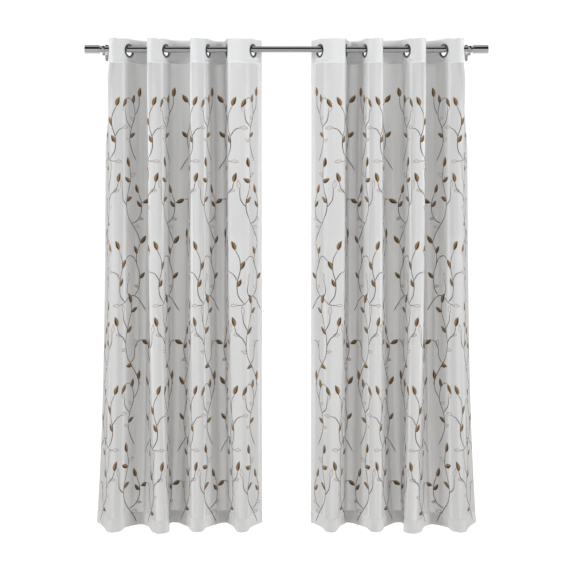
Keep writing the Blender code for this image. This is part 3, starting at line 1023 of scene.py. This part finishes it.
def metal_material(name, colour, roughness):
    """Plated metal, faintly brushed, duller in patches."""
    n = Nodes(bpy.data.materials.new(name))
    spot = n.add("TexCoord").outputs["Object"]
    brushed = n.noise(spot, (900, 900, 900), 3.0)
    worn = n.noise(spot, (40, 40, 40), 4.0)
    rough = n.math("MULTIPLY_ADD", worn, 0.06, roughness - 0.03)
    tone = n.mix(worn, tuple(c * 0.9 for c in colour) + (1,), colour + (1,))
    bump = n.add("Bump", {"Strength": 0.04, "Distance": 0.0001, "Height": brushed}).outputs[0]
    shader = n.add(
        "BsdfPrincipled",
        {"Base Color": tone, "Metallic": 1.0, "Roughness": rough, "Normal": bump},
    )
    return n.finish(shader.outputs[0])


# Studio

CAMERA_PLACE = (0.0065, -ROD_OUT - 5.3, -0.744)
LENS = 75.6
SHIFT_Y = -0.1193

# How bright the room is, by the way one looks: at the backdrop behind the curtains, and on the side
# of the camera near the horizon, in the dark band that the metal mirrors and overhead. BEHIND is
# the rest, beside the backdrop.
BACKDROP = 1.02
HORIZON = 0.66
STRIP = 0.015
OVERHEAD = 0.50
BEHIND = 0.42
ROOM_TINT = (1.0, 0.975, 0.92, 1)

# Where the room changes, each as the two ends of a soft ramp on a look's direction: Z for the dark
# band, Y, towards the wall, for the rest.
STRIP_FOOT = (0.03, 0.16)
STRIP_TOP = (0.78, 0.93)
FRONT_EDGE = (-0.05, 0.35)
BACKDROP_EDGE = (0.45, 0.91)

# The floor glows white behind the curtains, in a fan that opens from below the camera. It has the
# glow FLOOR_FAR far off on the camera's side, and FLOOR_SURROUND elsewhere.
FLOOR = -2.60
FLOOR_GLOW = 1.0
FLOOR_SURROUND = 0.31
FLOOR_FAR = 0.56
FLOOR_TINT = (1.0, 0.96, 0.89, 1)
FAN_START = (-0.3, 0.86)
FAN_CENTRE = -5.4
FAN_SIDE = (0.26, 0.9)  # sideways distance over distance from the centre
FAR_OFF = (1.0, 9.0)
FLOOR_RINGS = (1.0, 2.0, 4.0, 8.0, 16.0, 40.0, 120.0)

# The two lamps, one the mirror image of the other
KEY_PLACE = (4.2, -2.7, 1.2)
KEY_TARGET = (0.4, -0.1, -0.6)
KEY_SIZE = (2.0, 2.6)
KEY_WATTS = 160
KEY_COLOUR = (0.95, 0.975, 1.0)
WHITE = (1, 1, 1, 1)


def make_world(scene):
    """A white backdrop behind the curtains, and a pale room with a dark band above the camera."""
    world = bpy.data.worlds.new("studio")
    n = Nodes(world)
    way = n.add("SeparateXYZ", {0: n.add("TexCoord").outputs["Generated"]}).outputs
    below_strip = smooth_range(n, way["Z"], *STRIP_FOOT, HORIZON - STRIP, 0.0)
    above_strip = smooth_range(n, way["Z"], *STRIP_TOP, 0.0, OVERHEAD - STRIP)
    room = n.math("ADD", n.math("ADD", below_strip, above_strip), STRIP)
    front = smooth_range(n, way["Y"], *FRONT_EDGE, 1.0, 0.0)
    level = n.math("MULTIPLY_ADD", front, n.math("SUBTRACT", room, BEHIND), BEHIND)
    backdrop = smooth_range(n, way["Y"], *BACKDROP_EDGE)
    level = n.math("MULTIPLY_ADD", backdrop, n.math("SUBTRACT", BACKDROP, level), level)
    colour = n.mix(backdrop, ROOM_TINT, WHITE)
    background = n.add("Background", {"Color": colour, "Strength": level}).outputs[0]
    n.add("OutputWorld", {"Surface": background})
    scene.world = world


def floor_material():
    """A grey floor that glows white behind the curtains, and nearly the room's tone at the horizon."""
    n = Nodes(bpy.data.materials.new("floor"))
    spot = n.add("TexCoord").outputs["Object"]
    split = n.add("SeparateXYZ", {0: spot}).outputs
    started = smooth_range(n, split["Y"], *FAN_START)
    away = n.math("MAXIMUM", n.math("SUBTRACT", split["Y"], FAN_CENTRE), 0.5)
    aside = n.math("DIVIDE", n.math("ABSOLUTE", split["X"]), away)
    fan = n.math("MULTIPLY", started, smooth_range(n, aside, *FAN_SIDE, 1.0, 0.0))
    squared = n.math("MULTIPLY", split["X"], split["X"])
    reach = n.math("SQRT", n.math("MULTIPLY_ADD", split["Y"], split["Y"], squared))
    behind = n.math("DIVIDE", split["Y"], n.math("MAXIMUM", reach, 0.5))
    far = smooth_range(n, reach, *FAR_OFF)
    far = n.math("MULTIPLY", far, smooth_range(n, behind, *FRONT_EDGE, 1.0, 0.0))
    glow = n.math("MULTIPLY_ADD", fan, FLOOR_GLOW - FLOOR_SURROUND, FLOOR_SURROUND)
    glow = n.math("MULTIPLY_ADD", far, FLOOR_FAR - FLOOR_SURROUND, glow)
    whiter = n.math("MAXIMUM", fan, far)
    tone = n.mix(n.noise(spot, (3, 3, 3)), (0.30, 0.29, 0.28, 1), (0.32, 0.31, 0.30, 1))
    inputs = {
        "Base Color": tone,
        "Roughness": 0.9,
        "Specular IOR Level": 0.1,
        "Emission Color": n.mix(whiter, FLOOR_TINT, WHITE),
        "Emission Strength": glow,
    }
    return n.finish(n.add("BsdfPrincipled", inputs).outputs[0])


def make_floor(scene):
    """A round floor, wide enough to meet the horizon."""
    steps = 96
    turn = np.arange(steps) * math.tau / steps
    circle = np.stack((np.cos(turn), np.sin(turn), np.zeros(steps)), axis=1)
    points = np.concatenate([circle * radius + (0, 0, FLOOR) for radius in FLOOR_RINGS])
    faces = [list(range(steps))]
    for ring in range(len(FLOOR_RINGS) - 1):
        for i in range(steps):
            a, b = ring * steps + i, ring * steps + (i + 1) % steps
            faces.append([a, a + steps, b + steps, b])
    mesh = bpy.data.meshes.new("floor")
    mesh.from_pydata(points.tolist(), [], faces)
    mesh.materials.append(floor_material())
    floor = bpy.data.objects.new("floor", mesh)
    scene.collection.objects.link(floor)


def add_lamp(scene, name, way):
    """A large soft lamp in front, to one side."""
    data = bpy.data.lights.new(name, "AREA")
    data.shape = "RECTANGLE"
    data.size, data.size_y = KEY_SIZE
    data.energy = KEY_WATTS
    data.color = KEY_COLOUR
    lamp = bpy.data.objects.new(name, data)
    side = Vector((way, 1, 1))
    lamp.location = Vector(KEY_PLACE) * side
    aim = Vector(KEY_TARGET) * side - lamp.location
    lamp.rotation_euler = aim.to_track_quat("-Z", "Y").to_euler()
    lamp.visible_glossy = False  # a soft light that draws no square on the metal
    scene.collection.objects.link(lamp)


def make_studio():
    """The camera, the room's light and the floor."""
    scene = bpy.context.scene
    scene.view_settings.view_transform = "Standard"
    camera = bpy.data.objects.new("camera", bpy.data.cameras.new("camera"))
    camera.location = CAMERA_PLACE
    camera.rotation_euler = (math.pi / 2, 0, 0)
    camera.data.lens = LENS
    camera.data.shift_y = SHIFT_Y
    scene.collection.objects.link(camera)
    scene.camera = camera
    make_world(scene)
    make_floor(scene)
    add_lamp(scene, "key left", -1)
    add_lamp(scene, "key right", 1)


# The whole set

FOLD_EDGE = 0.0005  # the zones of several plies come in over twice this

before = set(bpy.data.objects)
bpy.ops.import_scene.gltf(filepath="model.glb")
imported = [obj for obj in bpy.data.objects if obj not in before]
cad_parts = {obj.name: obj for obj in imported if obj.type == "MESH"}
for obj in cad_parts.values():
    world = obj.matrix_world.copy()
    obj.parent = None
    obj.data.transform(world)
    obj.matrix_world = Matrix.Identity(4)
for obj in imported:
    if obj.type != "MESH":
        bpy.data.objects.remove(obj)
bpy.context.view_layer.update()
make_studio()

hem_seam = HEM_FOOT + HEM_HEIGHT
inner_seam = CLOTH_WIDTH - SIDE_HEM
hems = (
    ("Y", hem_seam + FOLD_EDGE, hem_seam - FOLD_EDGE),
    ("X", SIDE_HEM + FOLD_EDGE, SIDE_HEM - FOLD_EDGE),
    ("X", inner_seam - FOLD_EDGE, inner_seam + FOLD_EDGE),
)
band_top = HEADING_FOOT + BAND_HEIGHT
foot_band = (("Y", band_top + FOLD_EDGE, band_top - FOLD_EDGE),)
voile = voile_material("voile", 0.80, (0.70, 0.70, 0.70), 0.07, hems)
heading_voile = voile_material("heading voile", 0.98, (0.93, 0.93, 0.935), 0.01, foot_band)
nickel = metal_material("nickel", (0.57, 0.59, 0.615), 0.13)
bright_nickel = metal_material("bright nickel", (0.68, 0.70, 0.73), 0.06)
dark_nickel = metal_material("dark nickel", (0.185, 0.19, 0.195), 0.2)

threads = {
    "gold": thread_material("gold thread", (0.45, 0.265, 0.105), (0.30, 0.165, 0.062), 0.0007),
    "brown": thread_material("brown thread", (0.10, 0.055, 0.025), (0.055, 0.03, 0.014), 0.0007),
    "grey": thread_material("grey thread", (0.115, 0.078, 0.063), (0.06, 0.04, 0.032), 0.0009),
    "rose": thread_material("rose thread", (0.43, 0.24, 0.20), (0.33, 0.18, 0.15), 0.0008),
    "white": thread_material("white thread", (0.90, 0.88, 0.87), (0.80, 0.77, 0.76), 0.0007),
}

cloth_heights, cloth_plan, cloth_room, cloth_sag = make_cloth()
needlework = embroider()
seams = sew_seams()
for side, towards in SIDES.items():
    panel = make_panel(side, towards)
    heading = make_heading(side, towards)
    eyelets = make_eyelets(side, towards)
    sewn = [
        work.build(f"embroidery_{colour}_{side}", towards, threads[colour], f"embroidery_{colour}")
        for colour, work in needlework.items()
    ]
    sewn.append(seams.build(f"stitches_{side}", towards, threads["white"], "thread"))

make_rod()
for side, towards in SIDES.items():
    make_finial(side, towards)
    soften(f"rod_bracket_{side}", f"bracket_{side}", CASTING_EDGE)
    soften(f"thumb_screw_{side}", f"set_screw_{side}", SCREW_EDGE)
    for level in ("upper", "lower"):
        soften(f"plate_screw_{side}_{level}", f"wall_screw_{side}_{level}", SCREW_EDGE)
